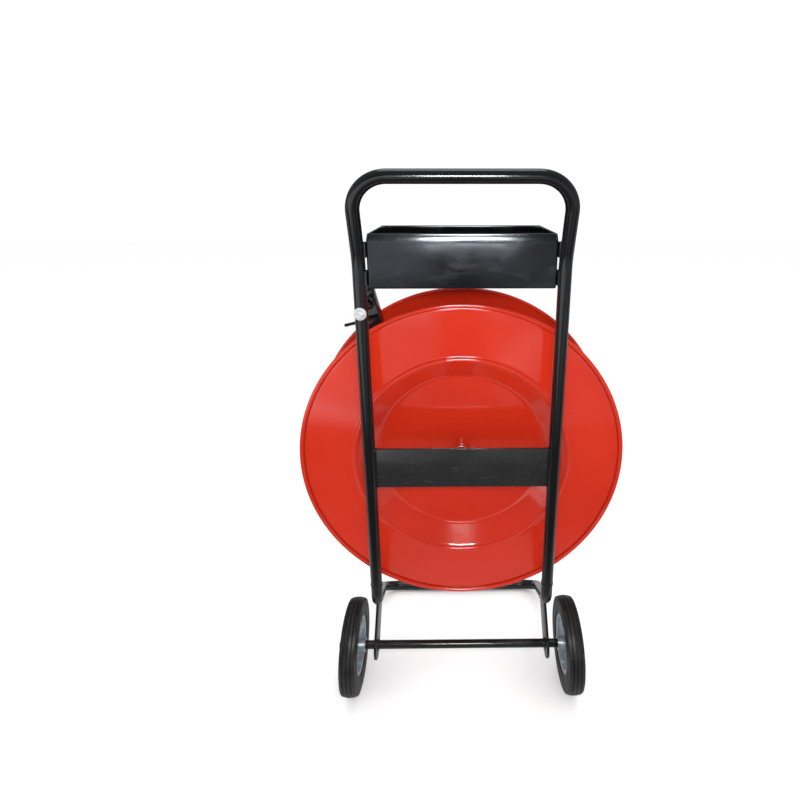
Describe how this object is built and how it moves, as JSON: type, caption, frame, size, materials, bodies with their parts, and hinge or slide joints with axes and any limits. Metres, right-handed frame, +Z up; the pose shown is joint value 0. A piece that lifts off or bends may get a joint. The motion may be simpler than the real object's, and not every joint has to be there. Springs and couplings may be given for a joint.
{
  "type": "strapping reel cart",
  "caption": "Two-wheeled leaning tube-frame cart with a bow handle, a tool tray, a flanged red strapping reel on a spindle, a sprung brake arm and a splayed foot.",
  "frame": {"origin": "on the ground under the middle of the whole cart's box", "axes": "+X to the operator's right along the axle, +Y forwards away from the operator, +Z up"},
  "size_m": [0.6239, 0.457, 1.0433],
  "materials": {
    "black_enamel": "gloss powder coat",
    "black_sheet": "high gloss enamel on bent sheet",
    "red_enamel": "gloss enamel",
    "turned_steel": "turned",
    "zinc_hardware": "bright zinc plate",
    "zinc_rim": "blue zinc plate on pressed steel",
    "bronze": "sintered",
    "lining": "matt moulded lining",
    "spring_steel": "drawn wire",
    "nylon": "moulded",
    "tyre_rubber": "matt solid rubber"
  },
  "bodies": {
    "frame": {"handle_tube": "black_enamel", "foot_tube": "black_enamel", "crossbar": "black_enamel", "spindle": "turned_steel", "spindle_boss": "black_enamel", "spindle_washers": "zinc_hardware", "spindle_nut": "zinc_hardware", "spindle_split_pin": "zinc_hardware", "tray": "black_sheet", "tray_brackets": "black_enamel", "left_axle_plate": "black_enamel", "right_axle_plate": "black_enamel", "axle": "black_enamel", "axle_washers": "zinc_hardware", "axle_split_pins": "zinc_hardware", "pivot_bolt": "zinc_hardware", "pivot_washers": "zinc_hardware", "pivot_nut": "zinc_hardware", "pivot_spacer": "black_enamel", "arm_stop": "black_enamel", "brake_spring": "spring_steel"},
    "reel": {"rear_disc": "red_enamel", "front_disc": "red_enamel", "hub_tube": "red_enamel", "rear_hub_flange": "red_enamel", "front_hub_flange": "red_enamel", "hub_bushes": "bronze", "hub_bolts": "zinc_hardware", "hub_nuts": "zinc_hardware"},
    "brake": {"brake_arm": "black_enamel", "arm_sleeve": "black_enamel", "brake_shoe": "lining", "shoe_rivets": "zinc_hardware", "release_rod": "black_enamel"},
    "wheel_left": {"left_tyre": "tyre_rubber", "left_inner_rim": "zinc_rim", "left_outer_rim": "zinc_rim", "left_hub": "zinc_rim", "left_bushes": "nylon", "left_rim_rivets": "zinc_rim"},
    "wheel_right": {"right_tyre": "tyre_rubber", "right_inner_rim": "zinc_rim", "right_outer_rim": "zinc_rim", "right_hub": "zinc_rim", "right_bushes": "nylon", "right_rim_rivets": "zinc_rim"}
  },
  "joints": [
    {"name": "wheel_left_spin", "type": "hinge", "parent": "frame", "child": "wheel_left", "pos_m": [-0.2265, -0.05398, 0.089], "axis": [1, 0, 0], "continuous": true},
    {"name": "wheel_right_spin", "type": "hinge", "parent": "frame", "child": "wheel_right", "pos_m": [0.2265, -0.05398, 0.089], "axis": [1, 0, 0], "continuous": true},
    {"name": "reel_spin", "type": "hinge", "parent": "frame", "child": "reel", "pos_m": [0, -0.00345, 0.52481], "axis": [0, 0.9954, 0.0958], "continuous": true},
    {"name": "brake_swing", "type": "hinge", "parent": "frame", "child": "brake", "pos_m": [-0.1675, -0.06625, 0.8302], "axis": [0, 0.9954, 0.0958], "range_deg": [0, 35], "stiffness_Nm_per_rad": 1.2, "springref_deg": -20.05, "deforming": ["brake_spring"]}
  ]
}
